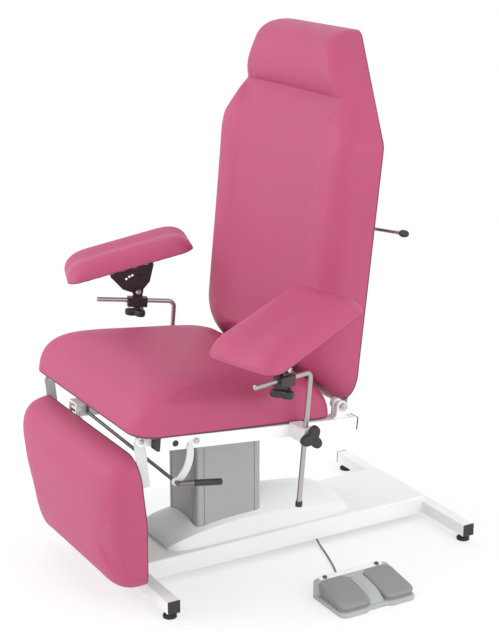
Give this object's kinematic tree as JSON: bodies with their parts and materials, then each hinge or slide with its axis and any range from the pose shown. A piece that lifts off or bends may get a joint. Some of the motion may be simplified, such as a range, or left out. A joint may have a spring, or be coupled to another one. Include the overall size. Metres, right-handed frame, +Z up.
{
  "type": "phlebotomy chair",
  "caption": "Powered blood-sampling chair with a lift column, reclining back, rising leg rest, adjustable arm pads and a foot switch.",
  "frame": {"origin": "on the floor, under the middle of the whole chair's box", "axes": "-Y the way the sitter faces, +X the sitter's left, +Z up"},
  "size_m": [1.0238, 0.9871, 1.2645],
  "materials": {
    "base_cross_tubes": "white powder coat",
    "tube_caps": "black, matt",
    "leveling_feet": "black",
    "base_tray": "white powder coat",
    "base_fairing": "white, smooth",
    "column_outer": "fine satin grey",
    "lift_spindle": "satin",
    "control_box": "dark grey",
    "cord_gland": "black",
    "switch_cord": "grey, soft",
    "switch_housing": "light grey",
    "switch_strip": "white",
    "column_middle": "fine satin grey",
    "column_glides": "natural",
    "column_inner": "fine satin grey",
    "lift_drive": "black",
    "column_head": "white powder coat",
    "seat_rail_left": "white powder coat",
    "seat_rail_right": "white powder coat",
    "seat_cross_members": "white powder coat",
    "rail_caps": "black, matt",
    "seat_board": "plywood",
    "seat_cushion": "pink leatherette, smooth",
    "hinge_pins": "satin",
    "post_clamps": "white powder coat",
    "release_hanger": "white powder coat",
    "back_frame": "white powder coat",
    "back_board": "plywood",
    "back_cushion": "pink leatherette, smooth",
    "headrest_cushion": "pink leatherette, smooth",
    "back_release_bracket": "white powder coat",
    "back_release_lever": "satin",
    "back_release_knob": "black, matt",
    "back_spring_cylinder": "black",
    "back_spring_rod": "polished",
    "leg_frame": "white powder coat",
    "leg_board": "plywood",
    "leg_cushion": "pink leatherette, smooth",
    "leg_spring_rod": "polished",
    "leg_spring_cylinder": "black",
    "release_rod": "satin",
    "release_grip": "black, matt",
    "pedal_left": "mid grey",
    "pedal_right": "mid grey",
    "post_cap_left": "black, matt",
    "arm_post_left": "satin",
    "post_knob_left": "black, matt",
    "pad_clamp_left": "black",
    "pad_knob_left": "black, matt",
    "pad_bracket_left": "black",
    "arm_board_left": "plywood",
    "arm_cushion_left": "pink leatherette, smooth",
    "post_cap_right": "black, matt",
    "arm_post_right": "satin",
    "post_knob_right": "black, matt",
    "pad_clamp_right": "black",
    "pad_knob_right": "black, matt",
    "pad_bracket_right": "black",
    "arm_board_right": "plywood",
    "arm_cushion_right": "pink leatherette, smooth"
  },
  "bodies": {
    "base": {"base_cross_tubes": "base_cross_tubes", "tube_caps": "tube_caps", "leveling_feet": "leveling_feet", "base_tray": "base_tray", "base_fairing": "base_fairing", "column_outer": "column_outer", "lift_spindle": "lift_spindle", "control_box": "control_box", "cord_gland": "cord_gland", "switch_cord": "switch_cord", "switch_housing": "switch_housing", "switch_strip": "switch_strip"},
    "middle_stage": {"column_middle": "column_middle", "column_glides": "column_glides"},
    "seat": {"column_inner": "column_inner", "lift_drive": "lift_drive", "column_head": "column_head", "seat_rail_left": "seat_rail_left", "seat_rail_right": "seat_rail_right", "seat_cross_members": "seat_cross_members", "rail_caps": "rail_caps", "seat_board": "seat_board", "seat_cushion": "seat_cushion", "hinge_pins": "hinge_pins", "post_clamps": "post_clamps", "release_hanger": "release_hanger"},
    "back": {"back_frame": "back_frame", "back_board": "back_board", "back_cushion": "back_cushion", "headrest_cushion": "headrest_cushion", "back_release_bracket": "back_release_bracket"},
    "back_lever": {"back_release_lever": "back_release_lever", "back_release_knob": "back_release_knob"},
    "back_cylinder": {"back_spring_cylinder": "back_spring_cylinder"},
    "back_rod": {"back_spring_rod": "back_spring_rod"},
    "leg_rest": {"leg_frame": "leg_frame", "leg_board": "leg_board", "leg_cushion": "leg_cushion"},
    "leg_rod": {"leg_spring_rod": "leg_spring_rod"},
    "leg_cylinder": {"leg_spring_cylinder": "leg_spring_cylinder"},
    "leg_release": {"release_rod": "release_rod", "release_grip": "release_grip"},
    "pedal_left": {"pedal_left": "pedal_left"},
    "pedal_right": {"pedal_right": "pedal_right"},
    "post_cap_left": {"post_cap_left": "post_cap_left"},
    "arm_post_left": {"arm_post_left": "arm_post_left"},
    "post_knob_left": {"post_knob_left": "post_knob_left"},
    "pad_clamp_left": {"pad_clamp_left": "pad_clamp_left"},
    "pad_knob_left": {"pad_knob_left": "pad_knob_left"},
    "arm_pad_left": {"pad_bracket_left": "pad_bracket_left", "arm_board_left": "arm_board_left", "arm_cushion_left": "arm_cushion_left"},
    "post_cap_right": {"post_cap_right": "post_cap_right"},
    "arm_post_right": {"arm_post_right": "arm_post_right"},
    "post_knob_right": {"post_knob_right": "post_knob_right"},
    "pad_clamp_right": {"pad_clamp_right": "pad_clamp_right"},
    "pad_knob_right": {"pad_knob_right": "pad_knob_right"},
    "arm_pad_right": {"pad_bracket_right": "pad_bracket_right", "arm_board_right": "arm_board_right", "arm_cushion_right": "arm_cushion_right"}
  },
  "joints": [
    {"name": "lift_middle", "type": "slide", "parent": "base", "child": "middle_stage", "axis": [0, 0, 1], "range_m": [0, 0.13]},
    {"name": "lift_inner", "type": "slide", "parent": "middle_stage", "child": "seat", "axis": [0, 0, 1], "range_m": [0, 0.13]},
    {"name": "back_recline", "type": "hinge", "parent": "seat", "child": "back", "pos_m": [0.0052, 0.09871, 0.42593], "axis": [-1, 0, 0], "range_deg": [0, 60]},
    {"name": "back_lever", "type": "hinge", "parent": "back", "child": "back_lever", "pos_m": [0.2412, 0.19248, 0.82742], "axis": [0, -0.9947, 0.1028], "range_deg": [0, 10], "stiffness_Nm_per_rad": 1, "springref_deg": -8.59},
    {"name": "back_spring_swing", "type": "hinge", "parent": "seat", "child": "back_cylinder", "pos_m": [-0.1128, -0.18766, 0.35761], "axis": [-1, 0, 0], "range_deg": [0, 1.2]},
    {"name": "back_spring_slide", "type": "slide", "parent": "back_cylinder", "child": "back_rod", "axis": [0, 0.9999, 0.0166], "range_m": [-0.07787, 0]},
    {"name": "leg_rest_raise", "type": "hinge", "parent": "seat", "child": "leg_rest", "pos_m": [0.0052, -0.40322, 0.42743], "axis": [-1, 0, 0], "range_deg": [0, 82]},
    {"name": "leg_spring_swing", "type": "hinge", "parent": "seat", "child": "leg_rod", "pos_m": [-0.0908, -0.40033, 0.39303], "axis": [-1, 0, 0], "range_deg": [0, 93.23]},
    {"name": "leg_spring_slide", "type": "slide", "parent": "leg_rod", "child": "leg_cylinder", "axis": [0, 0.2821, -0.9594], "range_m": [0, 0.02601]},
    {"name": "leg_release", "type": "hinge", "parent": "seat", "child": "leg_release", "pos_m": [0.2922, -0.3389, 0.333], "axis": [0.9779, 0.1319, -0.1621], "range_deg": [0, 18], "stiffness_Nm_per_rad": 1.5, "springref_deg": -11.46},
    {"name": "pedal_left", "type": "hinge", "parent": "base", "child": "pedal_left", "pos_m": [0.3714, 0.13305, 0.03636], "axis": [0, 1, 0], "range_deg": [0, 3], "stiffness_Nm_per_rad": 4, "springref_deg": -2.29},
    {"name": "pedal_right", "type": "hinge", "parent": "base", "child": "pedal_right", "pos_m": [0.3714, 0.03055, 0.03636], "axis": [0, 1, 0], "range_deg": [0, 3], "stiffness_Nm_per_rad": 4, "springref_deg": -2.29},
    {"name": "post_height_left", "type": "slide", "parent": "seat", "child": "post_cap_left", "axis": [0, 0.0906, 0.9959], "range_m": [-0.04, 0.12]},
    {"name": "post_swivel_left", "type": "hinge", "parent": "post_cap_left", "child": "arm_post_left", "pos_m": [0.3342, -0.01911, 0.5436], "axis": [0, 0.0906, 0.9959], "range_deg": [-6, 60]},
    {"name": "post_knob_left", "type": "hinge", "parent": "seat", "child": "post_knob_left", "pos_m": [0.3502, -0.0323, 0.3987], "axis": [1, 0, 0], "continuous": true},
    {"name": "pad_slide_left", "type": "slide", "parent": "arm_post_left", "child": "pad_clamp_left", "axis": [0.3567, -0.9304, 0.0847], "range_m": [-0.01, 0.07]},
    {"name": "pad_knob_left", "type": "hinge", "parent": "pad_clamp_left", "child": "pad_knob_left", "pos_m": [0.36845, -0.10842, 0.55173], "axis": [0, -0.0906, -0.9959], "continuous": true},
    {"name": "pad_tilt_left", "type": "hinge", "parent": "pad_clamp_left", "child": "arm_pad_left", "pos_m": [0.36845, -0.10625, 0.57563], "axis": [-0.9342, -0.3553, 0.0323], "range_deg": [-16, 14]},
    {"name": "post_height_right", "type": "slide", "parent": "seat", "child": "post_cap_right", "axis": [0, 0.0906, 0.9959], "range_m": [-0.04, 0.12]},
    {"name": "post_swivel_right", "type": "hinge", "parent": "post_cap_right", "child": "arm_post_right", "pos_m": [-0.3238, -0.01911, 0.5436], "axis": [0, -0.0906, -0.9959], "range_deg": [-6, 60]},
    {"name": "post_knob_right", "type": "hinge", "parent": "seat", "child": "post_knob_right", "pos_m": [-0.3398, -0.0323, 0.3987], "axis": [-1, 0, 0], "continuous": true},
    {"name": "pad_slide_right", "type": "slide", "parent": "arm_post_right", "child": "pad_clamp_right", "axis": [-0.299, -0.9503, 0.0865], "range_m": [-0.01, 0.07]},
    {"name": "pad_knob_right", "type": "hinge", "parent": "pad_clamp_right", "child": "pad_knob_right", "pos_m": [-0.35251, -0.11034, 0.5519], "axis": [0, -0.0906, -0.9959], "continuous": true},
    {"name": "pad_tilt_right", "type": "hinge", "parent": "pad_clamp_right", "child": "arm_pad_right", "pos_m": [-0.35251, -0.10816, 0.5758], "axis": [-0.9542, 0.2978, -0.0271], "range_deg": [-16, 14]}
  ],
  "couplings": [
    {"joint": "lift_inner", "follows": "lift_middle", "ratio": 1},
    {"joint": "back_spring_swing", "follows": "back_recline", "ratio": 0.01965},
    {"joint": "back_spring_slide", "follows": "back_recline", "m_per_rad": -0.072904},
    {"joint": "leg_spring_swing", "follows": "leg_rest_raise", "ratio": 1.1147},
    {"joint": "leg_spring_slide", "follows": "leg_rest_raise", "m_per_rad": 0.017818}
  ]
}
